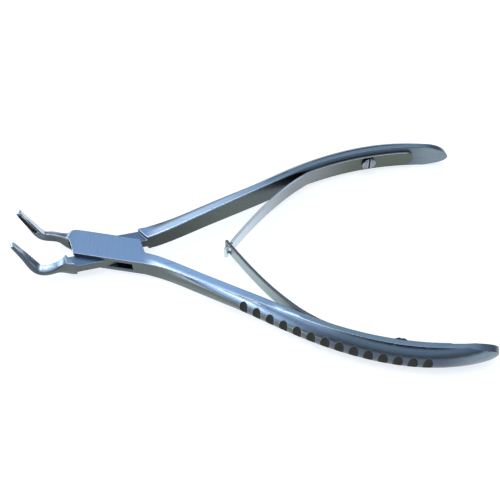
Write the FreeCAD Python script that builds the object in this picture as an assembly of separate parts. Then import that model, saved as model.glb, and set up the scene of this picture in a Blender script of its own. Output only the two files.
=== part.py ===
import FreeCAD, Part
import math
import os

from FreeCAD import Vector

# A box-joint bone rongeur with angled jaws and a pair of interlocked leaf springs.
# Frame: X runs from the jaws (-X) to the handle ends (+X), Y is the way the handles open and
# Z is the pivot axis. The origin is on the pivot axis, on the underside of the box joint.
# Every piece is drawn lying in the closed pose about the pivot, then turned to the open pose.

# Driving dimensions, in millimetres and degrees
half_opening_angle = 12.0      # each half swings this far from closed to fully open
closed_gap = 0.05              # from the middle plane to each jaw's tip when closed

box_thickness = 5.8            # over both cheeks of the box joint
slot_height = 3.0              # the slot that the tongue runs in
tongue_play = 0.05             # above and below the tongue
slot_radius = 10.35            # the slot's end walls, about the pivot
slot_end_play = 0.25           # between the tongue's ends and the slot's end walls
box_half_width = 4.55          # from the pivot to the box's side, at the pivot
box_far_width = 4.6            # from the pivot to the side where the neck begins
cheek_reach = 12.2             # from the pivot to the cheek's end edge, along X
cheek_slant_ratio = 0.6        # how far that edge leans along X for each unit of Y
shoulder_gap = 0.9             # between the cheek's end edge and the other half's shoulder
pin_radius = 1.6
pin_play = 0.03                # running clearance of the pin in the tongue

neck_relief = 0.5              # from the middle plane to the neck's inner face, at the box
waist_relief = 1.7             # the same at the neck's waist
root_relief = 0.9              # the same where the jaw has turned up
neck_start = 9.5               # where the neck grows out of the box
neck_shoulder_width = 4.05     # from the middle plane to the neck's outer side, at its shoulder
neck_waist = 17.0              # where the neck is thinnest
neck_waist_height = 3.6
neck_waist_thickness = 2.6
neck_outer_share = 0.72        # height of the neck's outer side, as a share of its inner side
jaw_outer_share = 0.68         # the same on the jaw
jaw_bend_start = 20.4          # where the jaw starts to turn up
jaw_bend_radius = 2.6
jaw_angle = 70.0               # the jaw's rise out of the handles' plane
jaw_length = 11.6              # from the bend to the tip
jaw_root_height = 3.5
jaw_root_thickness = 2.6
jaw_tip_height = 1.9
jaw_tip_thickness = 1.7
cup_tip_radius = 0.75          # half width and depth of the bite's hollow, near the tip
cup_root_radius = 1.0          # the same at its other end
cup_length = 9.4
cup_tip_margin = 0.7           # rim left beyond the cup, at the tip

handle_reach = 120.5           # from the pivot to the handle's end
handle_root = 12.5             # where the handle grows out of the box
handle_gap = 0.25              # from the middle plane to the handle's inner face, at the root
shank_start = 15.0             # where the handle starts to lean away
shank_angle = 16.3             # lean of the straight shank
shank_end = 64.0               # where the straight shank meets the curved grip
grip_radius = 95.0             # curve of the grip's inner face
shank_thickness = 3.6
grip_thickness = 4.8
grip_height = 9.0
grip_bulge = 3.3               # how far the grip's outer side stands out between its edges
handle_end_length = 15.0       # length of the rounded end, seen from the side
edge_break = 0.3               # bevel on the handles' and jaws' long inner edges
root_edge_break = 0.03         # what is left of that bevel where the neck meets the box
root_bulge = 0.06              # how far the handle's outer side stands out where it leaves the box
through = 60.0                 # half length of a cutter that passes right through

notch_count = 14               # finger notches across the outer side of each grip
notch_first = 46.0             # from the pivot to the first notch
notch_pitch = 4.2
notch_radius = 1.75
notch_depth = 0.75

leaf_width = 5.5
leaf_free_width = 4.2          # the leaf narrows to this where the two leaves cross
leaf_thickness = 0.9
leaf_lift = 0.12               # between the leaf and the handle's face
leaf_end = 108.6               # the leaf's rounded end
leaf_leave = 71.5              # where the leaf parts from the handle's face
leaf_apex_x = 37.6             # where the two leaves cross, in the closed frame of one half
leaf_apex_y = -8.15
hooked_leaf_angle = 34.0       # rise of each leaf's middle line at the crossing
windowed_leaf_angle = 42.0
hooked_leaf_fullness = 0.10    # bow of each leaf's free stretch, as a share of its rise
windowed_leaf_fullness = 0.13
leaf_tail = 2.0                # how far the windowed leaf runs past the crossing
window_length = 2.8            # window in the windowed leaf, along it
window_width = 3.1
hook_width = 2.5               # the other leaf's narrow neck through that window
hook_neck_length = 2.6
hook_head_width = 4.4
hook_head_length = 1.0
root_overlap = 0.05            # how far the neck and head are sunk into what they grow from

screw_x = 92.7                 # from the pivot to the spring's screw
screw_head_radius = 2.35
screw_head_height = 1.15
screw_dome = 0.35
screw_shank_radius = 1.1
screw_depth = 3.1              # how far the screw goes into the handle
screw_hole_play = 0.15         # around the screw in the leaf
screw_head_lift = 0.06         # the flat head bridges the leaf's curve by this
slot_width = 0.7               # driver slot in the screw's head
slot_depth = 0.55


def polygon_face(points, z=0.0):
    corners = [Vector(x, y, z) for x, y in points]
    return Part.Face(Part.makePolygon(corners + [corners[0]]))


def prism(points, z_low, z_high):
    return polygon_face(points, z_low).extrude(Vector(0, 0, z_high - z_low))


def centred_disc(radius, height):
    return Part.makeCylinder(radius, height, Vector(0, 0, -height / 2))


def turned(shape, angle):
    copy = shape.copy()
    copy.rotate(Vector(0, 0, 0), Vector(0, 0, 1), angle)
    return copy


def mirrored(shape):
    return shape.mirror(Vector(0, 0, 0), Vector(0, 1, 0))


def inner_face_y(x):
    """Height of the handle's inner face above the middle plane, in the closed pose."""
    lean = math.radians(shank_angle)
    if x <= shank_start:
        return handle_gap
    if x <= shank_end:
        return handle_gap + (x - shank_start) * math.tan(lean)
    centre_x = shank_end + grip_radius * math.sin(lean)
    crown = inner_face_y(shank_end) + grip_radius * (1 - math.cos(lean))
    return crown - grip_radius + math.sqrt(grip_radius ** 2 - (x - centre_x) ** 2)


def inner_face_angle(x):
    """Slope of that face, in degrees."""
    if x <= shank_start:
        return 0.0
    if x <= shank_end:
        return shank_angle
    centre_x = shank_end + grip_radius * math.sin(math.radians(shank_angle))
    return math.degrees(math.asin((centre_x - x) / grip_radius))


def d_section(x, z, tilt, side, inner, thickness, bulge, height, outer_share=1.0, edge=edge_break):
    """Closed wire with a flat inner side, plane top and bottom and a curved outer side.

    It stands across a path that has risen by tilt degrees out of the handles' plane. Its outer
    side is outer_share as high as its inner side, so the top and bottom slope outwards. Its two
    inner corners have a bevel as wide as edge.
    """
    rise = math.radians(tilt)
    up = Vector(math.sin(rise), 0, math.cos(rise))
    centre = Vector(x, 0, z)

    def at(y, level):
        return centre + Vector(0, side * y, 0) + up * level

    half = height / 2
    bevel = min(edge, height / 6, (thickness - bulge) / 3)
    flat_edge = inner + thickness - bulge
    low_edge = at(flat_edge, -half * outer_share)
    high_edge = at(flat_edge, half * outer_share)
    outer = Part.Arc(low_edge, at(inner + thickness, 0), high_edge).toShape()
    corners = [high_edge, at(inner + bevel, half), at(inner, half - bevel), at(inner, bevel - half),
               at(inner + bevel, -half), low_edge]
    sides = [Part.makeLine(a, b) for a, b in zip(corners, corners[1:])]
    return Part.Wire([outer] + sides)


def handle_blank():
    """The handle on the +Y side, from the box to its rounded end."""
    shank = shank_end - handle_root
    grip = handle_reach - shank_end
    growth = grip_height - box_thickness
    # share of the shank's length, thickness, bulge, height
    shank_stations = [
        (0.0, box_half_width - handle_gap, root_bulge, box_thickness),
        (0.13, 1.12 * shank_thickness, 0.07 * grip_bulge, box_thickness + 0.20 * growth),
        (0.35, shank_thickness, 0.11 * grip_bulge, box_thickness + 0.38 * growth),
        (0.55, 1.10 * shank_thickness, 0.32 * grip_bulge, box_thickness + 0.58 * growth),
        (0.81, 0.97 * grip_thickness, 0.76 * grip_bulge, box_thickness + 0.83 * growth),
    ]
    # share of the grip's length, thickness, bulge, height
    grip_stations = [
        (0.05, grip_thickness, 0.92 * grip_bulge, box_thickness + 0.96 * growth),
        (0.30, 1.03 * grip_thickness, grip_bulge, grip_height),
        (0.55, 1.07 * grip_thickness, 1.03 * grip_bulge, grip_height),
        (0.78, 0.95 * grip_thickness, 0.91 * grip_bulge, grip_height),
        (0.92, 0.71 * grip_thickness, 0.66 * grip_bulge, grip_height),
        (1.03, 0.27 * grip_thickness, 0.24 * grip_bulge, grip_height),
    ]
    stations = [(handle_root + share * shank, t, b, h) for share, t, b, h in shank_stations]
    stations += [(shank_end + share * grip, t, b, h) for share, t, b, h in grip_stations]
    wires = [d_section(x, 0, 0, 1, inner_face_y(x), t, b, h) for x, t, b, h in stations]
    body = Part.makeLoft(wires, True, False)
    return body.common(handle_side_profile())


def handle_side_profile():
    """A long slab with a half-elliptical end, which rounds the handle's end seen from the side."""
    half = grip_height / 2 + edge_break
    ellipse = Part.Ellipse(Vector(0, 0, 0), handle_end_length, half)
    quarter = math.pi / 2
    arc = Part.ArcOfEllipse(ellipse, -quarter, quarter).toShape()
    back = -handle_reach
    corners = [Vector(0, half, 0), Vector(back, half, 0), Vector(back, -half, 0), Vector(0, -half, 0)]
    sides = [Part.makeLine(a, b) for a, b in zip(corners, corners[1:])]
    face = Part.Face(Part.Wire([arc] + sides))
    face.rotate(Vector(0, 0, 0), Vector(1, 0, 0), 90)
    face.translate(Vector(handle_reach - handle_end_length, through, 0))
    return face.extrude(Vector(0, -2 * through, 0))


def jaw_frame(travel):
    """Point and rise of the jaw's middle line, travel millimetres past the start of its bend."""
    full = math.radians(jaw_angle)
    arc = jaw_bend_radius * full
    turn = min(max(travel, 0.0) / jaw_bend_radius, full)
    x = -jaw_bend_start - jaw_bend_radius * math.sin(turn)
    z = jaw_bend_radius * (1 - math.cos(turn))
    if travel < 0:
        x -= travel
    if travel > arc:
        x -= (travel - arc) * math.cos(full)
        z += (travel - arc) * math.sin(full)
    return x, z, math.degrees(turn)


def between(low, high, share):
    return low + (high - low) * share


def jaw_blank():
    """Neck and upturned jaw on the -Y side, solid, before the cup is cut."""
    arc = jaw_bend_radius * math.radians(jaw_angle)
    shoulder = cheek_reach + shoulder_gap
    to_box = neck_start - jaw_bend_start
    to_shoulder = shoulder - jaw_bend_start
    to_waist = neck_waist - jaw_bend_start
    mid_relief = between(waist_relief, root_relief, 0.6)
    # travel past the bend's start, inner face, thickness, bulge, height, outer share
    stations = [
        (to_box, neck_relief, box_far_width - neck_relief, 0.02 * box_far_width, box_thickness, 1.0),
        (to_shoulder, neck_relief, neck_shoulder_width - neck_relief, 0.1 * neck_shoulder_width,
         box_thickness, 0.92),
        (to_waist, waist_relief, neck_waist_thickness, 0.25 * neck_waist_thickness,
         neck_waist_height, neck_outer_share),
        (0.0, waist_relief, neck_waist_thickness, 0.3 * neck_waist_thickness,
         jaw_root_height, neck_outer_share),
        (0.5 * arc, mid_relief, jaw_root_thickness, 0.35 * jaw_root_thickness,
         jaw_root_height, neck_outer_share),
        (arc, root_relief, jaw_root_thickness, 0.4 * jaw_root_thickness, jaw_root_height, jaw_outer_share),
    ]
    for share in (0.35, 0.7, 1.0):
        inner = between(root_relief, closed_gap, min(1.0, 1.15 * share))
        thickness = between(jaw_root_thickness, jaw_tip_thickness, share)
        height = between(jaw_root_height, jaw_tip_height, share)
        travel = arc + share * jaw_length
        stations.append((travel, inner, thickness, 0.45 * thickness, height, jaw_outer_share))
    wires = []
    for travel, inner, thickness, bulge, height, outer_share in stations:
        x, z, tilt = jaw_frame(travel)
        edge = root_edge_break if travel == to_box else edge_break
        wires.append(d_section(x, z, tilt, -1, inner, thickness, bulge, height, outer_share, edge))
    body = Part.makeLoft(wires, True, False)
    # The neck's root is ground flush with the box's two flat sides.
    wide = 2 * box_half_width
    above = Part.makeBox(neck_waist, wide, wide, Vector(-neck_waist, -wide, box_thickness / 2))
    below = above.mirror(Vector(0, 0, 0), Vector(0, 0, 1))
    return body.cut([above, below])


def jaw_tip_rounding():
    """What is taken off the jaw's end, so that it is round seen from the side."""
    arc = jaw_bend_radius * math.radians(jaw_angle)
    x, z, tilt = jaw_frame(arc + jaw_length)
    radius = jaw_tip_height / 2
    wide = 2 * box_half_width
    block = Part.makeBox(3 * radius, 2 * wide, 4 * radius, Vector(-2 * radius, -wide, -2 * radius))
    keep = Part.makeCylinder(radius, 2 * wide, Vector(radius, -wide, 0), Vector(0, 1, 0))
    waste = block.cut(keep)
    waste.rotate(Vector(0, 0, 0), Vector(0, 1, 0), tilt)
    waste.translate(Vector(x, 0, z))
    return waste


def jaw_cup():
    """Round-ended taper whose half cuts the bite's long hollow into the jaw's inner face."""
    arc = jaw_bend_radius * math.radians(jaw_angle)
    far = arc + jaw_length - cup_tip_margin - cup_tip_radius
    near = arc + jaw_length - cup_tip_margin - cup_length + cup_root_radius
    along = Vector(1, 0, 0)
    taper = Part.makeCone(cup_tip_radius, cup_root_radius, far - near, Vector(0, 0, 0), along)
    tip_ball = Part.makeSphere(cup_tip_radius, Vector(0, 0, 0), along * -1, 0, 90)
    root_ball = Part.makeSphere(cup_root_radius, Vector(far - near, 0, 0), along, 0, 90)
    cutter = taper.fuse([tip_ball, root_ball])
    x, z, tilt = jaw_frame(far)
    lean = math.degrees(math.atan2(root_relief - closed_gap, jaw_length))
    cutter.rotate(Vector(0, 0, 0), Vector(0, 0, 1), -lean)
    cutter.rotate(Vector(0, 0, 0), Vector(0, 1, 0), tilt)
    cutter.translate(Vector(x, -closed_gap, z))
    return cutter


def right_edge_x(y):
    """End edge of the cheeks beside the handle; the other end is the same, turned half round."""
    return cheek_reach + cheek_slant_ratio * y


def box_plate():
    """The flat middle of a half with its handle on the +Y side and its jaw on the -Y side."""
    side = box_half_width
    outline = [
        (-neck_start, -box_far_width),
        (-neck_start, -neck_relief),
        (-right_edge_x(neck_relief), -neck_relief),
        (-right_edge_x(-side), side),
        (handle_root, side),
        (handle_root, handle_gap),
        (right_edge_x(handle_gap), handle_gap),
        (right_edge_x(-side), -side),
        (0.17 * cheek_reach, -side),
    ]
    return prism(outline, -box_thickness / 2, box_thickness / 2)


def half_blank():
    """One whole half before its joint is cut: handle on +Y, jaw on -Y, closed pose."""
    blank = box_plate().fuse([handle_blank(), jaw_blank()])
    blank = blank.cut(jaw_tip_rounding()).cut(jaw_cup())
    return blank.removeSplitter()


def outer_crest(body, x):
    """Outermost point of a handle at a distance from the pivot, in the middle plane."""
    probe = Part.makeLine(Vector(x, 0, 0), Vector(x, through, 0))
    return max(vertex.Point.y for vertex in body.common(probe).Vertexes)


def cut_notches(body):
    """Row of shallow finger notches, cut by upright cylinders just outside the grip."""
    cutters = []
    step = notch_radius / 4
    for i in range(notch_count):
        x = notch_first + i * notch_pitch
        ahead = outer_crest(body, x + step)
        behind = outer_crest(body, x - step)
        slope = math.atan2(ahead - behind, 2 * step)
        crest = (ahead + behind) / 2
        stand_off = notch_radius - notch_depth
        centre = Vector(x - stand_off * math.sin(slope), crest + stand_off * math.cos(slope), -grip_height)
        cutters.append(Part.makeCylinder(notch_radius, 2 * grip_height, centre))
    return body.cut(cutters)


def screw_axis():
    """Point on the handle's inner face and the unit vector out of that face."""
    slope = math.radians(inner_face_angle(screw_x))
    seat = Vector(screw_x, inner_face_y(screw_x), 0)
    return seat, Vector(math.sin(slope), -math.cos(slope), 0)


def screw_hole():
    seat, outward = screw_axis()
    above = leaf_thickness
    return Part.makeCylinder(screw_shank_radius, screw_depth + above, seat + outward * above, outward * -1)


def joint_quarters(half_height):
    """The two opposite quarters of the joint that the other half's metal swings through.

    They are drawn for a half with its handle on the +Y side and its jaw on the -Y side.
    """
    far = 2 * cheek_reach
    jaw_side = [(0, -neck_relief), (0, far), (-far, far), (-far, -neck_relief)]
    handle_side = [(0, handle_gap), (0, -far), (far, -far), (far, handle_gap)]
    return [prism(zone, -half_height, half_height) for zone in (jaw_side, handle_side)]


def box_half():
    slot = centred_disc(slot_radius, slot_height).fuse(joint_quarters(slot_height / 2))
    body = half_blank().cut(slot)
    body = body.cut(centred_disc(pin_radius, 2 * box_thickness))
    body = cut_notches(body).cut(screw_hole())
    return turned(mirrored(body), -half_opening_angle)


def cheek_zone():
    """Outline of the cheeks, with the shoulders' gap, as the tongue half sees it when closed."""
    far = 2 * box_half_width
    lean = cheek_slant_ratio * far
    reach = cheek_reach + shoulder_gap
    return [(lean - reach, -far), (reach + lean, -far), (reach - lean, far), (-reach - lean, far)]


def tongue_half():
    tongue = slot_height - 2 * tongue_play
    upper_cheek = prism(cheek_zone(), tongue / 2, box_thickness)
    lower_cheek = prism(cheek_zone(), -box_thickness, -tongue / 2)
    body = half_blank().cut([upper_cheek, lower_cheek])
    # The tongue's ends are round, so that they turn inside the slot's end walls.
    round_end = centred_disc(slot_radius - slot_end_play, 2 * box_thickness)
    body = body.cut([quarter.cut(round_end) for quarter in joint_quarters(box_thickness)])
    body = body.cut(centred_disc(pin_radius + pin_play, 2 * box_thickness))
    body = cut_notches(body).cut(screw_hole())
    return turned(body, half_opening_angle)


def pivot_pin():
    return centred_disc(pin_radius, box_thickness)


def leaf_points(free_end, fullness):
    """Middle line of a leaf from its free end to its screwed end, in the closed frame of its half."""
    lift = leaf_lift + leaf_thickness / 2
    landing = Vector(leaf_leave, inner_face_y(leaf_leave) - lift, 0)
    span = landing - free_end
    # The leaf rises fast at first and eases into the handle's own slope. Its bow away from a
    # straight line is a skewed arch, and fullness is how high that arch stands.
    points = [free_end]
    for u in (0.27, 0.5, 0.72, 0.87):
        arch = 4 * u * (1 - u) * (0.76 + 0.48 * u)
        points.append(free_end + Vector(u * span.x, (u + fullness * arch) * span.y, 0))
    points.append(landing)
    along = [between(leaf_leave, leaf_end, i / 5) for i in range(1, 6)]
    points += [Vector(x, inner_face_y(x) - lift, 0) for x in along]
    return points


def offset_curve(middle, offset, count=24):
    """Curve beside another one in the handles' plane, with its two end points."""
    first, last = middle.FirstParameter, middle.LastParameter
    points = []
    for i in range(count + 1):
        parameter = between(first, last, i / count)
        tangent = middle.tangent(parameter)[0]
        normal = Vector(-tangent.y, tangent.x, 0)
        points.append(middle.value(parameter) + normal * offset)
    curve = Part.BSplineCurve()
    curve.interpolate(points)
    return curve.toShape(), points[0], points[-1]


def leaf_strip(free_end, fullness):
    """A leaf rounded at its screwed end, and the curve of its middle line."""
    middle = Part.BSplineCurve()
    middle.interpolate(leaf_points(free_end, fullness))
    upper, upper_start, upper_end = offset_curve(middle, leaf_thickness / 2)
    lower, lower_start, lower_end = offset_curve(middle, -leaf_thickness / 2)
    start_cap = Part.makeLine(lower_start, upper_start)
    end_cap = Part.makeLine(upper_end, lower_end)
    face = Part.Face(Part.Wire([upper, end_cap, lower, start_cap]))
    strip = face.extrude(Vector(0, 0, leaf_width))
    strip.translate(Vector(0, 0, -leaf_width / 2))
    return strip.common(leaf_side_profile()), middle


def leaf_side_profile():
    """Slab that shapes the leaf seen from the side: narrow at its free end, round at the other."""
    radius = leaf_width / 2
    narrow = leaf_free_width / 2
    start = leaf_end - radius
    near = leaf_apex_x / 2
    corners = [Vector(start, -radius, 0), Vector(leaf_leave, -radius, 0), Vector(leaf_apex_x, -narrow, 0),
               Vector(near, -narrow, 0), Vector(near, narrow, 0), Vector(leaf_apex_x, narrow, 0),
               Vector(leaf_leave, radius, 0), Vector(start, radius, 0)]
    nose = Part.Arc(corners[-1], Vector(leaf_end, 0, 0), corners[0]).toShape()
    sides = [Part.makeLine(a, b) for a, b in zip(corners, corners[1:])]
    slab = Part.Face(Part.Wire(sides + [nose])).extrude(Vector(0, 0, 2 * through))
    slab.translate(Vector(0, 0, -through))
    slab.rotate(Vector(0, 0, 0), Vector(1, 0, 0), 90)
    return slab


def leaf_screw_hole():
    seat, outward = screw_axis()
    radius = screw_shank_radius + screw_hole_play
    return Part.makeCylinder(radius, 4 * leaf_thickness, seat - outward * leaf_thickness, outward)


def crossing_point(slope, shift):
    """Point that lies a little way along a leaf's slope from the place where the leaves cross."""
    lean = math.radians(slope)
    return Vector(leaf_apex_x + shift * math.cos(lean), leaf_apex_y + shift * math.sin(lean), 0)


def free_end_frame(middle):
    """Free end of a leaf's middle line and the unit vector that points off that end."""
    start = middle.value(middle.FirstParameter)
    tangent = middle.tangent(middle.FirstParameter)[0]
    return start, tangent * -1


def leaf_block(start, direction, length, width, thickness):
    """Box that begins at a point and runs along a direction in the handles' plane."""
    block = Part.makeBox(length, thickness, width, Vector(0, -thickness / 2, -width / 2))
    block.rotate(Vector(0, 0, 0), Vector(0, 0, 1), math.degrees(math.atan2(direction.y, direction.x)))
    block.translate(start)
    return block


def hooked_leaf():
    """Leaf on the tongue half: its end narrows to a neck with a cross head."""
    strip, middle = leaf_strip(crossing_point(hooked_leaf_angle, hook_neck_length / 2), hooked_leaf_fullness)
    end, off = free_end_frame(middle)
    neck = leaf_block(end - off * root_overlap, off, hook_neck_length, hook_width, leaf_thickness)
    head_start = end + off * (hook_neck_length - 2 * root_overlap)
    head = leaf_block(head_start, off, hook_head_length, hook_head_width, leaf_thickness)
    body = strip.fuse([neck, head]).cut(leaf_screw_hole()).removeSplitter()
    return turned(body, half_opening_angle)


def windowed_leaf():
    """Leaf on the box half: a window near its end takes the other leaf's neck."""
    strip, middle = leaf_strip(crossing_point(windowed_leaf_angle, -leaf_tail), windowed_leaf_fullness)
    end, off = free_end_frame(middle)
    window_start = end - off * (leaf_tail + window_length / 2)
    window = leaf_block(window_start, off, window_length, window_width, 3 * leaf_thickness)
    body = strip.cut(window).cut(leaf_screw_hole())
    return turned(mirrored(body), -half_opening_angle)


def spring_screw():
    """Slotted screw with a low domed head, in the closed frame of the half on +Y."""
    seat, outward = screw_axis()
    under = leaf_lift + leaf_thickness + screw_head_lift
    rim = screw_head_height - screw_dome
    corners = [
        Vector(0, 0, -screw_depth),
        Vector(screw_shank_radius, 0, -screw_depth),
        Vector(screw_shank_radius, 0, under),
        Vector(screw_head_radius, 0, under),
        Vector(screw_head_radius, 0, under + rim),
    ]
    lines = [Part.makeLine(a, b) for a, b in zip(corners, corners[1:])]
    crown = Vector(0, 0, under + screw_head_height)
    bow = Vector(0.55 * screw_head_radius, 0, under + rim + 0.72 * screw_dome)
    dome = Part.Arc(corners[-1], bow, crown).toShape()
    axis_line = Part.makeLine(crown, corners[0])
    profile = Part.Face(Part.Wire(lines + [dome, axis_line]))
    screw = profile.revolve(Vector(0, 0, 0), Vector(0, 0, 1), 360)
    reach = 2 * screw_head_radius
    groove = Part.makeBox(slot_width, 2 * reach, reach,
                          Vector(-slot_width / 2, -reach, under + screw_head_height - slot_depth))
    screw = screw.cut(groove)
    screw.rotate(Vector(0, 0, 0), Vector(1, 0, 0), 90)
    turn = math.degrees(math.atan2(outward.x, -outward.y))
    screw.rotate(Vector(0, 0, 0), Vector(0, 0, 1), turn)
    screw.translate(seat)
    return screw


def tongue_half_screw():
    return turned(spring_screw(), half_opening_angle)


def box_half_screw():
    return turned(mirrored(spring_screw()), -half_opening_angle)


pieces = {
    "box_half": box_half,
    "tongue_half": tongue_half,
    "pivot_pin": pivot_pin,
    "windowed_leaf_spring": windowed_leaf,
    "hooked_leaf_spring": hooked_leaf,
    "box_half_spring_screw": box_half_screw,
    "tongue_half_spring_screw": tongue_half_screw,
}

os.makedirs("parts", exist_ok=True)
for name, make in pieces.items():
    piece = make()
    piece.translate(Vector(0, 0, box_thickness / 2))
    solids = piece.Solids
    shape = solids[0] if len(solids) == 1 else Part.Compound(solids)
    shape.exportStep(f"parts/{name}.step")
    box = shape.BoundBox
    print(f"{name}: {len(solids)} solid, {shape.Volume:.1f} mm3, valid {shape.isValid()}, "
          f"X {box.XMin:.1f}..{box.XMax:.1f} Y {box.YMin:.1f}..{box.YMax:.1f} "
          f"Z {box.ZMin:.1f}..{box.ZMax:.1f}")
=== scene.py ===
# %% [markdown]
# # A bone rongeur in satin steel
# A bone rongeur is a pair of cutting pliers for small pieces of bone. Two steel halves cross in a
# box joint, the jaws turn up out of the handles' plane, and two leaf springs hold it open.
# The solid model gives the shapes and the joint. This lesson adds what a solid lacks: finishes,
# soft light, a camera, and leaf springs rebuilt by Geometry Nodes.

# %% Load the solid model as the frame
import math

import bmesh
import bpy
from mathutils import Matrix, Vector


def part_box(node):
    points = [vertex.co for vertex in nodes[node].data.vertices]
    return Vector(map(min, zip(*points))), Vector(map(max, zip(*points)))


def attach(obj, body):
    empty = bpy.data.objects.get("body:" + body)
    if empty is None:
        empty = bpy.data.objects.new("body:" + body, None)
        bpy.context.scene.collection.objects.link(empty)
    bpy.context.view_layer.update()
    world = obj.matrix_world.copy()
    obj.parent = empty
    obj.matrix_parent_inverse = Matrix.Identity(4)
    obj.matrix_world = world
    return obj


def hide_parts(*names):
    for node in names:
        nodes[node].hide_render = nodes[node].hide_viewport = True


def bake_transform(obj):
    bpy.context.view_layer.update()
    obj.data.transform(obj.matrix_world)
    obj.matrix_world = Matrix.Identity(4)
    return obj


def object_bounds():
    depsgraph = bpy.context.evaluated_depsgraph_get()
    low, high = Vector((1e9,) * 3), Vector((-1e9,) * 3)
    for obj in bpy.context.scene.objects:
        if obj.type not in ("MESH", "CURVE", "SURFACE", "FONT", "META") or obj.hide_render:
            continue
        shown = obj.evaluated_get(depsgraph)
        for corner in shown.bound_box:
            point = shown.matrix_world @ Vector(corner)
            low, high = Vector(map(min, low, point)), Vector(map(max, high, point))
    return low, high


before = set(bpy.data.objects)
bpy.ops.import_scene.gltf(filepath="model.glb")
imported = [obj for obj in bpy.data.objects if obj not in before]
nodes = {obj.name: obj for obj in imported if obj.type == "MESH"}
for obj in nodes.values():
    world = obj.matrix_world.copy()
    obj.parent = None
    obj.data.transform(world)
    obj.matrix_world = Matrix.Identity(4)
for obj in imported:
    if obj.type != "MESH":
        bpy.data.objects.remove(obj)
cad_low, cad_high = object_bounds()
scene = bpy.context.scene
mm = 0.001
print("pieces in the frame:", sorted(nodes))

# %% [markdown]
# ## Sums and nodes, written as Python
# Materials and Geometry Nodes are both graphs, and their sums are easier to read as sums. One
# small class wraps a socket, so that `1 - mask` or `grain * 0.3` adds the Math node by itself.
# A second class holds a graph and makes every other node with a single method.


# %% Wrap sockets and graphs
class Value:
    """A number or vector that varies over a surface."""

    def __init__(self, graph, socket):
        self.graph = graph
        self.socket = socket

    def _math(self, operation, *terms):
        return self.graph.node("ShaderNodeMath", {"operation": operation}, *terms)["Value"]

    def __add__(self, other):
        return self._math("ADD", self, other)

    __radd__ = __add__

    def __sub__(self, other):
        return self._math("SUBTRACT", self, other)

    def __rsub__(self, other):
        return self._math("SUBTRACT", other, self)

    def __mul__(self, other):
        return self._math("MULTIPLY", self, other)

    __rmul__ = __mul__

    def __truediv__(self, other):
        return self._math("DIVIDE", self, other)

    def __rtruediv__(self, other):
        return self._math("DIVIDE", other, self)

    def __pow__(self, other):
        return self._math("POWER", self, other)

    def __abs__(self):
        return self._math("ABSOLUTE", self)

    def below(self, other):
        """1 where this is smaller, else 0."""
        return self._math("LESS_THAN", self, other)

    def at_least(self, floor):
        """This, and never less than floor."""
        return self._math("MAXIMUM", self, floor)

    def at_most(self, top):
        """This, and never more than top."""
        return self._math("MINIMUM", self, top)

    def ease(self, start, end):
        """0 before start, 1 after end, smooth between them."""
        settings = {"interpolation_type": "SMOOTHSTEP"}
        return self.graph.node("ShaderNodeMapRange", settings, self, start, end)["Result"]


class Graph:
    """A node tree, with one method that makes any node and sets or links its sockets."""

    def __init__(self, tree):
        self.tree = tree
        self.tree.nodes.clear()

    def plug(self, socket, value):
        if isinstance(value, list):
            for each in value:
                self.plug(socket, each)
        elif isinstance(value, Value):
            self.tree.links.new(value.socket, socket)
        else:
            socket.default_value = value

    def node(self, kind, settings=None, *values, **named):
        made = self.tree.nodes.new(kind)
        for key, value in (settings or {}).items():
            setattr(made, key, value)
        open_sockets = [socket for socket in made.inputs if socket.enabled]
        for socket, value in zip(open_sockets, values):
            self.plug(socket, value)
        for key, value in named.items():
            wanted = key.replace("_", " ")
            self.plug(next(socket for socket in open_sockets if socket.name == wanted), value)
        return {output.name: Value(self, output) for output in made.outputs if output.enabled}


class Finish(Graph):
    """One material."""

    def __init__(self, name):
        self.material = bpy.data.materials.new(name)
        self.material.use_nodes = True
        super().__init__(self.material.node_tree)

    def mix(self, amount, first, second):
        """A colour between two colours."""
        return self.node("ShaderNodeMix", {"data_type": "RGBA"}, amount, first, second)["Result"]

    def surface(self, shader):
        self.node("ShaderNodeOutputMaterial", {}, shader)
        return self.material


# %% [markdown]
# ## Where a handle runs
# Some finishes follow a handle: the fall and the painted highlight of a shank's rim, and the
# painted shade in the slot of a screw. The springs lie on its inner face too, so the line of that
# face is written down first, as the solid model has it: level beside the joint, then a straight
# lean, then an arc along the grip. It is drawn with the handles closed, and each half is turned
# out by half of the opening.

# %% The handle's inner face
half_opening = math.radians(12)
shank_start, shank_end = 15.0 * mm, 64.0 * mm
shank_lean = math.radians(16.3)
handle_gap = 0.25 * mm
grip_radius = 95.0 * mm
screw_x = 92.7 * mm
mid_height = 0.5 * (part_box("pivot_pin")[0][2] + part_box("pivot_pin")[1][2])


def grip_face(x):
    """How far the handle's inner face stands from the middle plane when the handles are closed."""
    rise = handle_gap + (min(x, shank_end) - shank_start) * math.tan(shank_lean)
    if x <= shank_end:
        return rise
    centre = shank_end + grip_radius * math.sin(shank_lean)
    crown = rise + grip_radius * (1 - math.cos(shank_lean))
    return crown - grip_radius + math.sqrt(grip_radius**2 - (x - centre) ** 2)


def opened(point, side=1):
    """A point of the closed drawing, turned out with its half; side is 1 on +Y and -1 on -Y."""
    turned = Matrix.Rotation(half_opening, 3, "Z") @ point
    return Vector((turned.x, side * turned.y, mid_height))


print("middle of the joint:", round(mid_height / mm, 2), "mm above the origin")
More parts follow.
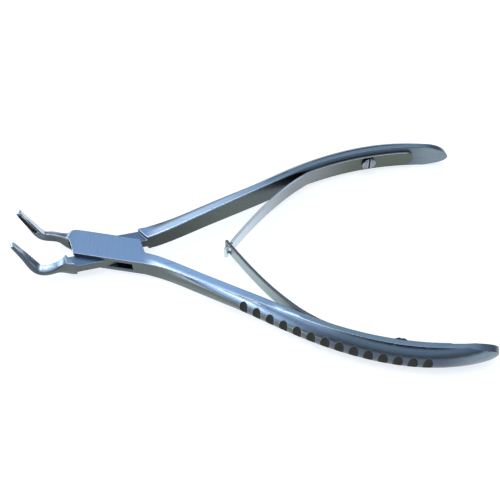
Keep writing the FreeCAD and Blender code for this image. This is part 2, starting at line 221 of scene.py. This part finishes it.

# %% [markdown]
# ## Satin ground steel
# The halves are forged and then ground. Grinding lines run across the box and along the grips.
# The steel's colour also carries painted light and shade: a painted highlight on the shanks
# beside the box, on the faces between a flat and a side and along every edge; painted shade on
# the sides, on the round backs of the grips, on the grips' flats and on the tongue inside the box;
# and a painted dark reflection along the grips. Which colour a spot has depends on where it lies
# on the piece and which way it faces there, so the material reads both in the piece's own space,
# and it turns with the piece and not with the camera. The Bevel node gives the sharp edges of the
# solid a small round, and the difference between that rounded normal and the true one is also the
# mask for the painted edge highlights. The shanks are softer: the flat falls away towards its rim
# and rolls over into the outer wall. Both falls are written as heights in millimetres, which one
# Bump node presses in.

# %% Colours of the steel, with its painted light and shade
box_flat_colour = (0.36, 0.47, 0.60, 1)
# Painted shade on the tongue's flats inside the box
tongue_flat_shade_colour = (0.20, 0.26, 0.35, 1)
# Painted highlight on the shanks' flats
shank_highlight_colour = (0.88, 0.97, 0.99, 1)
box_shank_colour = (0.46, 0.60, 0.74, 1)
# Painted shade on the grips' flats
grip_flat_shade_colour = (0.27, 0.34, 0.37, 1)
# Painted highlight on the faces between a flat and a side, dimmer as painted shade on the grips
crown_painted_light_colour = (0.66, 0.78, 0.90, 1)
grip_crown_painted_light_colour = (0.185, 0.215, 0.235, 1)
# Painted dark reflection in a band along the grips
grip_painted_band_colour = (0.006, 0.008, 0.012, 1)
neck_colour = (0.31, 0.40, 0.49, 1)
jaw_colour = (0.55, 0.61, 0.66, 1)
# Painted shade on the jaws' faces that face sideways
jaw_side_shade_colour = (0.085, 0.105, 0.120, 1)
# Painted shade on the faces that face sideways: darkest at the tongue half's root, on the grips'
# backs, lighter towards the grips' ends
side_root_shade_colour = (0.060, 0.067, 0.062, 1)
side_shade_colour = (0.120, 0.140, 0.128, 1)
grip_back_shade_colour = (0.095, 0.118, 0.145, 1)
grip_end_shade_colour = (0.21, 0.26, 0.29, 1)
# Painted highlight on the edges
edge_highlight_colour = (0.93, 0.95, 0.96, 1)
# A dark colour: for the grinding lines, and as painted shade on the screw
shade_colour = (0.02, 0.03, 0.05, 1)
# Painted shade in the notches, the jaws' cups and, near black, the box joint's slot
notch_shade_colour = (0.040, 0.043, 0.036, 1)
hollow_shade_colour = (0.070, 0.074, 0.072, 1)
joint_shade_colour = (0.006, 0.007, 0.008, 1)
screw_colour = (0.25, 0.28, 0.30, 1)
# Painted shade where a leaf is screwed down, and the rest of each leaf in painted light: a sheen on
# the upper, shade on the lower
leaf_root_shade_colour = (0.115, 0.131, 0.108, 1)
upper_leaf_sheen_colours = ((0.25, 0.27, 0.28, 1), (0.66, 0.74, 0.78, 1), (0.78, 0.74, 0.66, 1))
lower_leaf_shade_colours = ((0.22, 0.29, 0.30, 1), (0.34, 0.42, 0.42, 1), (0.17, 0.17, 0.16, 1))
print("brightest flat:", shank_highlight_colour[:3], "darkest side:", side_root_shade_colour[:3])

# %% Where one finish turns into the next
# Millimetres from the pin, towards the jaws
neck_zone = (-9, -13)
neck_to_jaw = (-14, -19)
jaw_zone = (-16, -21)
# Millimetres from the pin, towards the handles' ends
shank_zone = (11, 17)
shoulder_zone = (16, 36)
side_root_end = (16, 44)
grip_flat_zone = (24, 62)
grip_zone = (40, 66)
rim_end = (52, 72)
grip_end_zone = (96, 110)
grip_painted_band_end = (100, 112)
# The shank's painted highlight runs this much longer on the box half, and its grip starts later
longer_highlight = 7  # on the box half
# How much a spot faces up or down, or sideways on the jaws
crown_facing = (0.35, 0.80)
flat_facing = (0.955, 0.992)
wall_facing = (0.5, 0.8)
grip_painted_band_facing = (0.865, 0.94)
jaw_side_facing = (0.25, 0.60)
# Millimetres above or below the middle of the joint
tongue_half_height = 2.2  # with room for its rounded edges
upper_wall = (0.9, 2.0)
shoulder_start = 0.5
# Millimetres outside the handle's inner face
outer_wall = (2, 3)
rim_start = 1.8
# Where the painted highlight grows on the rim of the box half's shank
rim_highlight = (0.1, 1.5)  # beyond the start of the rim
# Millimetres of fall for each squared millimetre beyond that start
shoulder_fall = 0.24
box_rim_fall, tongue_rim_fall = 0.11, 0.17
print("a half turns from shank to grip between", grip_zone, "mm from the pin")

# %% Read a spot's place, facing, edges and grain
edge_radius = 0.40 * mm
bevel_samples = 12
pin_surround = 2.4  # millimetres


def own_place(finish):
    """Where a spot lies on its piece, in millimetres."""
    place = finish.node("ShaderNodeTexCoord")["Object"]
    parts = finish.node("ShaderNodeSeparateXYZ", {}, place)
    return parts["X"] / mm, parts["Y"] / mm, parts["Z"] / mm


def own_normal(finish):
    """How much a spot faces along X, Y and Z in its piece's own space."""
    normal = finish.node("ShaderNodeNewGeometry")["Normal"]
    settings = {"vector_type": "NORMAL", "convert_from": "WORLD", "convert_to": "OBJECT"}
    own = finish.node("ShaderNodeVectorTransform", settings, normal)["Vector"]
    parts = finish.node("ShaderNodeSeparateXYZ", {}, own)
    return abs(parts["X"]), abs(parts["Y"]), abs(parts["Z"])


def edges_of(finish):
    """The normal with every edge rounded, and a mask that is 1 on an edge and 0 beside it.

    The pin is ground flush with the box, so round it the true normal stays.
    """
    rounded = finish.node("ShaderNodeBevel", {"samples": bevel_samples}, edge_radius)["Normal"]
    true = finish.node("ShaderNodeNewGeometry")["Normal"]
    x, y = own_place(finish)[:2]
    by_pin = (x * x + y * y).below(pin_surround**2)
    rounded = finish.node("ShaderNodeMix", {"data_type": "VECTOR"}, by_pin, rounded, true)["Result"]
    alike = finish.node("ShaderNodeVectorMath", {"operation": "DOT_PRODUCT"}, rounded, true)["Value"]
    return rounded, (1 - alike).ease(0.01, 0.12)


def across_line(finish, start, lean):
    """How far a spot lies outside a line in the handles' plane, in millimetres, on either half."""
    x, y = own_place(finish)[:2]
    start = start / mm
    return (abs(y) - start.y) * math.cos(lean) - (x - start.x) * math.sin(lean)


def drawn_noise(finish, per_metre):
    """Noise with so many waves to the metre along each axis."""
    place = finish.node("ShaderNodeTexCoord")["Object"]
    drawn = finish.node("ShaderNodeMapping", {}, place, Scale=per_metre)["Vector"]
    return finish.node("ShaderNodeTexNoise", {}, Vector=drawn, Scale=1.0, Detail=3.0)["Fac"]


print("edges are rounded by", round(edge_radius / mm, 2), "mm")

# %% Put a metal together
box_grain = (1300, 110, 400)  # waves to the metre
grip_grain = (110, 2400, 1700)
leaf_grain = (220, 220, 2600)
blasted_grain = (1500, 1500, 1500)
line_height = 0.01 * mm


def shaded_lines(finish, colour, lines, amount):
    """A colour with its grinding lines shaded in."""
    return finish.mix(((lines - 0.5) * 1.6).ease(0.0, 1.0) * amount, colour, shade_colour)


def metal(finish, colour, roughness, lines, depth, rounded):
    """Bare metal with fine lines pressed into it."""
    bump = finish.node("ShaderNodeBump", {}, Strength=depth, Distance=line_height, Height=lines,
                       Normal=rounded)["Normal"]
    shader = finish.node("ShaderNodeBsdfPrincipled", {}, Base_Color=colour, Metallic=1.0,
                         Roughness=roughness, Normal=bump)
    return finish.surface(shader["BSDF"])


print("the finest grinding line is", round(1000 / max(grip_grain), 2), "mm wide")


# %% The halves' steel
def satin_steel():
    finish = Finish("satin steel")
    x, y, z = own_place(finish)
    height = z - mid_height / mm
    facing_y, facing_z = own_normal(finish)[1:]

    # Which part of the half it is
    on_neck = x.ease(*neck_zone)
    on_jaw = x.ease(*jaw_zone)
    on_shank = x.ease(*shank_zone)
    on_tongue_half = y.ease(-1, 1)
    along = x - (1 - on_tongue_half) * longer_highlight
    on_grip = along.ease(*grip_zone)
    in_slot = abs(height).below(tongue_half_height)

    # How far out it lies on the shank, and where the outer wall rolls over
    root = opened(Vector((shank_start, handle_gap, 0)))
    depth = across_line(finish, root, shank_lean + half_opening)
    beyond_rim = (depth - rim_start).at_least(0.0)
    beyond_shoulder = (abs(height) - shoulder_start).at_least(0.0)
    on_wall = depth.ease(*outer_wall) * (1 - facing_z.ease(*wall_facing))
    shoulder = on_wall * x.ease(*shoulder_zone) * (1 - on_grip)

    # What faces up or down: the box's steel, painted shade on the tongue in the slot and on the
    # grips' flats, and a painted highlight on the shanks
    flat = finish.mix(in_slot, box_flat_colour, tongue_flat_shade_colour)
    shank_highlight_mask = on_tongue_half + (1 - on_tongue_half) * beyond_rim.ease(*rim_highlight)
    shank_flat = finish.mix(shank_highlight_mask, box_shank_colour, shank_highlight_colour)
    flat = finish.mix(on_shank, flat, shank_flat)
    flat = finish.mix(along.ease(*grip_flat_zone), flat, grip_flat_shade_colour)
    neck = finish.mix(x.ease(*neck_to_jaw), neck_colour, jaw_colour)
    flat = finish.mix(on_neck, flat, neck)

    # What lies between a flat and a side: a painted highlight, dimmer on the grips, with a painted
    # dark reflection in a band along them
    # A painted dark reflection along the grips, where the flat turns into the crown
    grip_line = facing_z.ease(*grip_painted_band_facing) * (1 - x.ease(*grip_painted_band_end))
    grip_crown = finish.mix(grip_line, grip_crown_painted_light_colour, grip_painted_band_colour)
    crown = finish.mix(on_grip, crown_painted_light_colour, grip_crown)
    crown = finish.mix(on_neck, crown, neck)

    # What faces sideways, in painted shade: darkest at the tongue half's root, lighter towards the
    # grips' ends
    at_root = on_tongue_half * (1 - x.ease(*side_root_end))
    side = finish.mix(at_root, side_shade_colour, side_root_shade_colour)
    jaw = finish.mix(facing_y.ease(*jaw_side_facing), jaw_colour, jaw_side_shade_colour)
    side = finish.mix(on_jaw, side, jaw)
    back = finish.mix(x.ease(*grip_end_zone), grip_back_shade_colour, grip_end_shade_colour)
    side = finish.mix(on_grip, side, back)
    # A painted highlight on the upper part of the shank's outer wall, in the crown's colour
    side = finish.mix(shoulder * height.ease(*upper_wall), side, crown)

    # All three together, with the grinding lines
    colour = finish.mix(facing_z.ease(*crown_facing), side, crown)
    colour = finish.mix(facing_z.ease(*flat_facing), colour, flat)
    box_lines = drawn_noise(finish, box_grain)
    grip_lines = drawn_noise(finish, grip_grain)
    lines = box_lines + (grip_lines - box_lines) * on_shank
    lines = (lines - 0.5) * (1 - on_neck * 0.7) + 0.5
    colour = shaded_lines(finish, colour, lines, 0.8)
    gloss = (lines - 0.5) * 0.20 + 0.30

    # Painted highlights on the edges: thin on the jaws, faint on the necks and grips, none in the
    # slot
    rounded, edge_highlight = edges_of(finish)
    edge_highlight = edge_highlight ** (on_jaw * 2 + 1)
    edge_highlight = edge_highlight * (1 - on_grip * 0.95) * (1 - on_neck * 0.5 + on_jaw * 0.5)
    edge_highlight = edge_highlight * facing_z.ease(0.0, 0.1)
    edge_highlight = edge_highlight * (1 - in_slot * (1 - on_shank) * (1 - on_neck))
    colour = finish.mix(edge_highlight, colour, edge_highlight_colour)

    # The rim that falls away and the rounded shoulder
    rim_fall = on_tongue_half * (tongue_rim_fall - box_rim_fall) + box_rim_fall
    fall = beyond_rim * beyond_rim * rim_fall * -1.0 * on_shank * (1 - x.ease(*rim_end))
    fall = fall - beyond_shoulder * beyond_shoulder * shoulder_fall * shoulder
    softened = finish.node("ShaderNodeBump", {}, Strength=1.0, Distance=1 * mm, Height=fall,
                           Normal=rounded)["Normal"]
    return metal(finish, colour, gloss, lines, 0.15, softened)


finishes = {"satin": satin_steel()}
print("satin steel:", len(finishes["satin"].node_tree.nodes), "nodes")

# %% Steel for the hollows, the leaves and the screws
leaf_tip_zone, leaf_root_zone = (38, 62), (62, 84)  # millimetres from the pin
slot_half_width = 0.36  # millimetres


def recess_shade_steel(name, shade, roughness):
    """Dull metal painted dark, as painted shade in a recess, with a fine grit."""
    finish = Finish(name)
    grit = drawn_noise(finish, blasted_grain)
    darker = tuple(0.6 * part for part in shade[:3]) + (1,)
    colour = finish.mix(grit.ease(0.3, 0.7), darker, shade)
    return metal(finish, colour, (grit - 0.5) * 0.15 + roughness, grit, 0.2, edges_of(finish)[0])


def leaf_steel(name, middle, tip, edge):
    """Spring steel in painted light and shade: painted shade where the leaf is screwed down, a
    painted sheen towards its free end, and on the edges that face up and down a painted highlight on
    the upper leaf and painted shade on the lower.
    """
    finish = Finish(name)
    x = own_place(finish)[0]
    facing_z = own_normal(finish)[2]
    lines = drawn_noise(finish, leaf_grain)
    broad = finish.mix(x.ease(*leaf_tip_zone), tip, middle)
    broad = finish.mix(x.ease(*leaf_root_zone), broad, leaf_root_shade_colour)
    colour = finish.mix(facing_z.ease(0.3, 0.8), broad, edge)
    colour = shaded_lines(finish, colour, lines, 0.3)
    return metal(finish, colour, (lines - 0.5) * 0.15 + 0.32, lines, 0.15, edges_of(finish)[0])


def screw_steel():
    """Turned steel, with painted shade where the head's round wall faces up, painted shade in the
    driver slot, and a painted highlight on its edges.
    """
    finish = Finish("screw steel")
    facing_z = own_normal(finish)[2]
    lines = drawn_noise(finish, blasted_grain)
    colour = finish.mix(facing_z.ease(0.05, 0.45), screw_colour, shade_colour)
    rounded, edge_highlight = edges_of(finish)
    # Painted highlight on the screw's edges
    colour = finish.mix(edge_highlight * 0.7, colour, edge_highlight_colour)
    seat = opened(Vector((screw_x, grip_face(screw_x), 0)))
    slope = (grip_face(screw_x + mm) - grip_face(screw_x - mm)) / (2 * mm)
    across = across_line(finish, seat, math.atan(slope) + half_opening - math.pi / 2)
    # Painted shade in the driver slot
    colour = finish.mix(abs(across).below(slot_half_width), colour, shade_colour)
    return metal(finish, colour, (lines - 0.5) * 0.1 + 0.24, lines, 0.1, rounded)


# Painted shade in the milled recesses
finishes["notch"] = recess_shade_steel("blasted notch steel", notch_shade_colour, 0.6)
finishes["hollow"] = recess_shade_steel("dull cup steel", hollow_shade_colour, 0.45)
finishes["joint"] = recess_shade_steel("oiled joint steel", joint_shade_colour, 0.35)
# Painted light on the leaves: a painted sheen on the upper one and painted shade on the lower
finishes["upper leaf"] = leaf_steel("pale spring steel", *upper_leaf_sheen_colours)
finishes["lower leaf"] = leaf_steel("grey spring steel", *lower_leaf_shade_colours)
finishes["screw"] = screw_steel()
print("finishes:", sorted(finishes))

# %% [markdown]
# ## The two halves
# Each half is one forging from jaw to grip. The solid has its shape already, as loose triangles,
# so a copy with the triangles joined shades smoothly along its curves. Two kinds of edge have to
# stay crisp on it: the rim of every flat that was ground, and the rims of what was milled into
# the forging. The milled places are found by where they lie and which way they face, and each
# kind gets its own dark steel in painted shade: finger notches, the cups of the jaws and the slot
# of the box joint.

# %% Copy a solid piece with its triangles joined
crease_angle = math.radians(28)
weld_distance = 0.0005 * mm
level_enough = 0.9999  # how much a ground flat faces up or down
notch_zone = (40 * mm, 101 * mm)
box_half_width = 4.5 * mm
box_reach = 12.2 * mm
slot_half_height = 1.55 * mm
half_finishes = ("satin", "notch", "hollow", "joint")
cup_line = [Vector((-23.1, 5.5, 7.0)) * mm, Vector((-25.7, 5.5, 14.1)) * mm]


def dress(mesh, *materials):
    """Give a mesh its finishes, in order."""
    mesh.materials.clear()
    for material in materials:
        mesh.materials.append(material)


def is_notch(centre, normal):
    """A notch's wall stands upright on the grip and faces outwards."""
    outwards = normal.y * (1 if centre.y > 0 else -1)
    return notch_zone[0] < centre.x < notch_zone[1] and abs(normal.z) < 0.002 and outwards > 0.2


def is_cup(centre, normal):
    """A cup's wall faces its own axis."""
    if centre.x > -20 * mm:
        return False
    low, high = [Vector((p.x, math.copysign(p.y, centre.y), p.z)) for p in cup_line]
    span = high - low
    share = max(0.0, min(1.0, (centre - low).dot(span) / span.length_squared))
    to_axis = low + span * share - centre
    return to_axis.length < 1.2 * mm and normal.dot(to_axis) > 0.35 * to_axis.length


def is_joint(centre, normal):
    """Inside the box, seen in the frame of the half that holds it."""
    seen = Matrix.Rotation(half_opening, 3, "Z") @ centre
    upright = abs(normal.z) < 0.5 and abs(seen.z - mid_height) < slot_half_height
    return upright and abs(seen.y) < box_half_width and abs(seen.x) < box_reach


def kind_of(face):
    """Which of the half's finishes a face gets, 0 being the plain one."""
    centre, normal = face.calc_center_median(), face.normal
    tests = (is_notch, is_cup, is_joint)
    return next((i for i, test in enumerate(tests, start=1) if test(centre, normal)), 0)


def joined_copy(node, name):
    """A solid piece's mesh with its triangles joined, its finishes sorted and its creases kept."""
    mesh = nodes[node].data.copy()
    dress(mesh, *[finishes[key] for key in half_finishes])
    work = bmesh.new()
    work.from_mesh(mesh)
    bmesh.ops.remove_doubles(work, verts=work.verts, dist=weld_distance)
    for face in work.faces:
        face.material_index = kind_of(face)
        face.smooth = True
    for edge in work.edges:
        faces = edge.link_faces
        turn = faces[0].normal.angle(faces[1].normal, 0.0) if len(faces) == 2 else math.pi
        on_rim = len({face.material_index for face in faces}) > 1
        on_flat = len({abs(face.normal.z) > level_enough for face in faces}) > 1
        edge.smooth = not (turn > crease_angle or on_rim or on_flat)
    work.to_mesh(mesh)
    work.free()
    piece = bpy.data.objects.new(name, mesh)
    scene.collection.objects.link(piece)
    return piece


print("edges sharper than", round(math.degrees(crease_angle)), "degrees stay crisp")


# %% Dress the halves, the pin and the screws
def dressed_half(node, name, body):
    half = joined_copy(node, name)
    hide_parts(node)
    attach(half, body)
    counts = dict.fromkeys(half_finishes, 0)
    for face in half.data.polygons:
        counts[half_finishes[face.material_index]] += 1
    print(name, "faces:", counts)


dressed_half("box_half", "box_half_forging", "box_side")
dressed_half("tongue_half", "tongue_half_forging", "tongue_side")
dress(nodes["pivot_pin"].data, finishes["satin"])
for name in ("box_half_spring_screw", "tongue_half_spring_screw"):
    dress(nodes[name].data, finishes["screw"])

# %% [markdown]
# ## Leaf springs
# The two leaves bend each time the handles close. A leaf follows a rule: a strip of even thickness
# lies along a curve, narrows towards its free end, and ends in a window or in a hook that passes
# through that window. That suits Geometry Nodes. A flat grid is laid along the curve, the window
# is taken out of it, and it is pushed out to the leaf's thickness. The sizes are inputs of the
# tree, so both leaves come from the same one.

# %% The curve of a leaf
leaf_lift, leaf_thickness = 0.12 * mm, 0.9 * mm
leaf_leave, leaf_end = 71.5 * mm, 108.6 * mm
crossing = Vector((37.6, -8.15, 0.0)) * mm
arch_shares = (0.27, 0.5, 0.72, 0.87)  # where the free part is given points, from its free end
seat_steps = 5


def leaf_points(lean, shift, fullness):
    """Points on a leaf's middle line, from its free end, with the handles closed.

    The free end lies shift beyond the crossing, along a line with that lean, and fullness is how
    far the free part bows out from the straight line to its landing on the handle.
    """
    lift = leaf_lift + leaf_thickness / 2
    free_end = crossing + Vector((math.cos(lean), math.sin(lean), 0)) * shift
    landing = Vector((leaf_leave, grip_face(leaf_leave) - lift, 0))
    span = landing - free_end
    points = [free_end]
    for u in arch_shares:
        arch = 4 * u * (1 - u) * (0.76 + 0.48 * u)
        points.append(free_end + Vector((u * span.x, (u + fullness * arch) * span.y, 0)))
    points.append(landing)
    for i in range(1, seat_steps + 1):
        x = leaf_leave + (leaf_end - leaf_leave) * i / seat_steps
        points.append(Vector((x, grip_face(x) - lift, 0)))
    return points


print("leaf length:", round((leaf_end - crossing.x) / mm, 1), "mm along X")


# %% A tree with named sizes
class Recipe(Graph):
    """A Geometry Nodes tree whose inputs are named sizes."""

    def __init__(self, name, sizes):
        tree = bpy.data.node_groups.new(name, "GeometryNodeTree")
        super().__init__(tree)
        tree.interface.new_socket("Geometry", in_out="INPUT", socket_type="NodeSocketGeometry")
        tree.interface.new_socket("Geometry", in_out="OUTPUT", socket_type="NodeSocketGeometry")
        for key in sizes:
            tree.interface.new_socket(key, in_out="INPUT", socket_type="NodeSocketFloat")
        tree.interface.new_socket("Steel", in_out="INPUT", socket_type="NodeSocketMaterial")
        self.inputs = self.node("NodeGroupInput")

    def vector(self, operation, *terms):
        return self.node("ShaderNodeVectorMath", {"operation": operation}, *terms)["Vector"]

    def finish(self, geometry):
        geometry = self.node("GeometryNodeRealizeInstances", {}, geometry)["Geometry"]
        steel = self.inputs["Steel"]
        made = self.node("GeometryNodeSetMaterial", {}, geometry, Material=steel)["Geometry"]
        self.node("NodeGroupOutput", {}, made)
        return self.tree


leaf_sizes = ("Width", "Free Width", "Thickness", "Hook Width", "Hook Length", "Head Width",
              "Head Length", "Window Start", "Window Length", "Window Width", "Narrow Length")
print("a leaf has", len(leaf_sizes), "sizes")

# %% The tree that makes a leaf
rows_along, rows_across = 241, 25
crowding = 1.35  # brings the rows closer together at the free end, where the window and hook are
weld_gap = 0.001 * mm


def leaf_recipe():
    recipe = Recipe("leaf spring", leaf_sizes)
    size = recipe.inputs
    curve = recipe.node("GeometryNodeMeshToCurve", {}, size["Geometry"])["Curve"]
    smooth = {"spline_type": "CATMULL_ROM"}
    curve = recipe.node("GeometryNodeCurveSplineType", smooth, curve)["Curve"]
    curve = recipe.node("GeometryNodeResampleCurve", {}, curve, Count=rows_along - 1)["Curve"]
    length = recipe.node("GeometryNodeCurveLength", {}, curve)["Length"]

    # A flat grid of one by one, with its width and its window as they are on the leaf
    grid = recipe.node("GeometryNodeMeshGrid", {}, 1.0, 1.0, rows_along, rows_across)["Mesh"]
    on_grid = recipe.node("GeometryNodeInputPosition")["Position"]
    parts = recipe.node("ShaderNodeSeparateXYZ", {}, on_grid)
    share = (parts["X"] + 0.5) ** crowding
    run = share * length
    narrowing = (run / size["Narrow Length"]).ease(0, 1)
    tapered = size["Free Width"] + (size["Width"] - size["Free Width"]) * narrowing
    in_hook = run.below(size["Hook Length"])
    in_head = run.below(size["Head Length"])
    hook = size["Hook Width"] * (in_hook - in_head)
    width = tapered * (1 - in_hook) + hook + size["Head Width"] * in_head
    nose = ((length - run) / (size["Width"] * 0.5)).at_most(1.0)
    rounding = (1.0001 - (1 - nose) ** 2.0) ** 0.5
    level = parts["Y"] * width * rounding
    half_window = size["Window Length"] * 0.5
    in_window = abs(run - size["Window Start"] - half_window).below(half_window)
    window = in_window * abs(level).below(size["Window Width"] * 0.5)
    grid = recipe.node("GeometryNodeDeleteGeometry", {"domain": "FACE"}, grid, window)["Geometry"]

    # Laid along the curve and pushed out to its thickness
    spot = recipe.node("GeometryNodeSampleCurve", {"mode": "FACTOR", "use_all_curves": True}, curve,
                       Factor=share)
    outwards = recipe.vector("CROSS_PRODUCT", spot["Tangent"], (0, 0, 1))
    back = recipe.node("ShaderNodeVectorMath", {"operation": "SCALE"}, outwards,
                       Scale=size["Thickness"] * -0.5)["Vector"]
    rise = recipe.node("ShaderNodeCombineXYZ", {}, 0.0, 0.0, level)["Vector"]
    place = recipe.vector("ADD", recipe.vector("ADD", spot["Position"], rise), back)
    sheet = recipe.node("GeometryNodeSetPosition", {}, grid, Position=place)["Geometry"]
    pushed = recipe.node("GeometryNodeExtrudeMesh", {"mode": "FACES"}, sheet,
                         Offset_Scale=size["Thickness"], Individual=False)["Mesh"]
    under = recipe.node("GeometryNodeFlipFaces", {}, sheet)["Mesh"]
    joined = recipe.node("GeometryNodeJoinGeometry", {}, [pushed, under])["Geometry"]
    closed = recipe.node("GeometryNodeMergeByDistance", {}, joined, Distance=weld_gap)["Geometry"]
    return recipe.finish(closed)


leaf_tree = leaf_recipe()
print("leaf tree:", len(leaf_tree.nodes), "nodes")


# %% Lay each leaf
leaf_crease_angle = math.radians(35)


def bending_leaf(name, node, side, points, sizes):
    path = bpy.data.meshes.new(name)
    spots = [opened(point, side) for point in points]
    path.from_pydata(spots, [(i, i + 1) for i in range(len(spots) - 1)], [])
    leaf = bpy.data.objects.new(name, path)
    scene.collection.objects.link(leaf)
    modifier = leaf.modifiers.new("leaf", "NODES")
    modifier.node_group = leaf_tree
    for item in leaf_tree.interface.items_tree:
        if item.in_out == "INPUT" and item.name in sizes:
            modifier[item.identifier] = sizes[item.name]
    bpy.context.view_layer.update()
    result = leaf.evaluated_get(bpy.context.evaluated_depsgraph_get())
    mesh = bpy.data.meshes.new_from_object(result)
    leaf.modifiers.clear()
    leaf.data = mesh
    work = bmesh.new()
    work.from_mesh(mesh)
    bmesh.ops.recalc_face_normals(work, faces=work.faces)
    work.to_mesh(mesh)
    work.free()
    mesh.polygons.foreach_set("use_smooth", [True] * len(mesh.polygons))
    mesh.set_sharp_from_angle(angle=leaf_crease_angle)
    landing = points[1 + len(arch_shares)]
    low, high = opened(landing, -1), opened(landing, 1)
    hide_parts(node)
    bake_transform(leaf)
    print(name, len(mesh.polygons), "faces")


hook_length = 3.5 * mm
strip = {"Width": 5.5 * mm, "Free Width": 4.2 * mm, "Thickness": leaf_thickness,
         "Narrow Length": 45 * mm, "Hook Width": 0.0, "Hook Length": -1.0, "Head Width": 0.0,
         "Head Length": -1.0, "Window Start": 0.0, "Window Length": 0.0, "Window Width": 0.0}
windowed = {**strip, "Steel": finishes["lower leaf"], "Window Start": 0.6 * mm,
            "Window Length": 2.8 * mm, "Window Width": 3.1 * mm}
hooked = {**strip, "Steel": finishes["upper leaf"], "Hook Width": 2.5 * mm,
          "Hook Length": hook_length, "Head Width": 4.4 * mm, "Head Length": 1.0 * mm}
bending_leaf("windowed_leaf", "windowed_leaf_spring", -1,
             leaf_points(math.radians(42), -2.0 * mm, 0.13), windowed)
bending_leaf("hooked_leaf", "hooked_leaf_spring", 1,
             leaf_points(math.radians(34), 1.3 * mm - hook_length, 0.10), hooked)

# %% [markdown]
# ## Floor, light and camera
# Steel shows what stands around it. The world is a blue-grey room, bright above and dark near
# the horizon, so the flats mirror a cool sheen and sloping faces fall away, over the painted light
# and shade in the steel's colour. A white lamp straight above draws the bright line along every
# rounded shoulder, together with a painted highlight there, a second one beyond the jaws lights
# what leans that way, and a small low one beside it picks out the edges, where a painted highlight
# lies too. The floor is white to the camera and to reflections, and still takes the object's
# shadow. The camera's place was fitted to the outline of the handles, the box and the jaws.

# %% Floor
floor_level = cad_low.z - 0.05 * mm
floor_mesh = bpy.data.meshes.new("floor")
reach = 15.0  # metres, so that the floor's end is out of sight
floor_glow = 0.72
corners = [(-reach, -reach, floor_level), (reach, -reach, floor_level),
           (reach, reach, floor_level), (-reach, reach, floor_level)]
floor_mesh.from_pydata(corners, [], [(0, 1, 2, 3)])
floor = bpy.data.objects.new("floor", floor_mesh)
scene.collection.objects.link(floor)


def floor_finish():
    """Matt grey under the lamps, white to the camera and in reflections."""
    finish = Finish("white floor")
    matt = finish.node("ShaderNodeBsdfDiffuse", {}, Color=(0.5, 0.5, 0.5, 1))["BSDF"]
    rays = finish.node("ShaderNodeLightPath")
    seen = rays["Is Camera Ray"] + rays["Is Glossy Ray"] + rays["Is Transmission Ray"]
    glow = finish.node("ShaderNodeEmission", {}, (1, 1, 1, 1), seen * floor_glow)["Emission"]
    both = finish.node("ShaderNodeAddShader", {}, matt, glow)["Shader"]
    return finish.surface(both)


dress(floor_mesh, floor_finish())
print("floor at", round(floor_level / mm, 2), "mm")

# %% Lamps
middle = Vector((45 * mm, 0.0, 0.0))
lamp_power = 1.6  # watts


def soft_lamp(name, place, size):
    """A white rectangular lamp that looks at the middle of the object."""
    lamp = bpy.data.lights.new(name, "AREA")
    lamp.shape = "RECTANGLE"
    lamp.size, lamp.size_y = size
    lamp.energy = lamp_power
    holder = bpy.data.objects.new(name, lamp)
    scene.collection.objects.link(holder)
    holder.location = Vector(place)
    holder.rotation_euler = (middle - holder.location).to_track_quat("-Z", "Y").to_euler()


soft_lamp("top lamp", (0.05, -0.02, 0.9), (0.45, 0.30))
soft_lamp("left lamp", (-0.55, 0.22, 0.66), (0.45, 0.45))
soft_lamp("edge lamp", (-0.69, 0.55, 0.20), (0.30, 0.30))
print("lamps:", sorted(lamp.name for lamp in bpy.data.lights))

# %% World
horizon_colour, sky_colour = (0.16, 0.18, 0.21, 1), (0.46, 0.62, 0.88, 1)
world = bpy.data.worlds.new("studio room")
scene.world = world
world.use_nodes = True
room = Graph(world.node_tree)
direction = room.node("ShaderNodeTexCoord")["Generated"]
height = room.node("ShaderNodeSeparateXYZ", {}, direction)["Z"]
sky = room.node("ShaderNodeMix", {"data_type": "RGBA"}, height.ease(0.15, 0.75), horizon_colour,
                sky_colour)["Result"]
glow = room.node("ShaderNodeBackground", {}, sky, 1.0)["Background"]
room.node("ShaderNodeOutputWorld", {}, glow)
print("world:", world.name)

# %% Camera
eye = Vector((40.586, -141.902, 186.958)) * mm
right = Vector((0.99955969, -0.02967523, 0.0))
back = Vector((-0.01806514, -0.60849333, 0.79335334))
up = back.cross(right)
lens = bpy.data.cameras.new("camera")
lens.lens = 52.836
lens.clip_start = 0.01
camera = bpy.data.objects.new("camera", lens)
scene.collection.objects.link(camera)
camera.matrix_world = Matrix.Translation(eye) @ Matrix((right, up, back)).transposed().to_4x4()
scene.camera = camera
scene.view_settings.view_transform = "Standard"
print("camera", round((eye - middle).length / mm), "mm from the middle of the object")
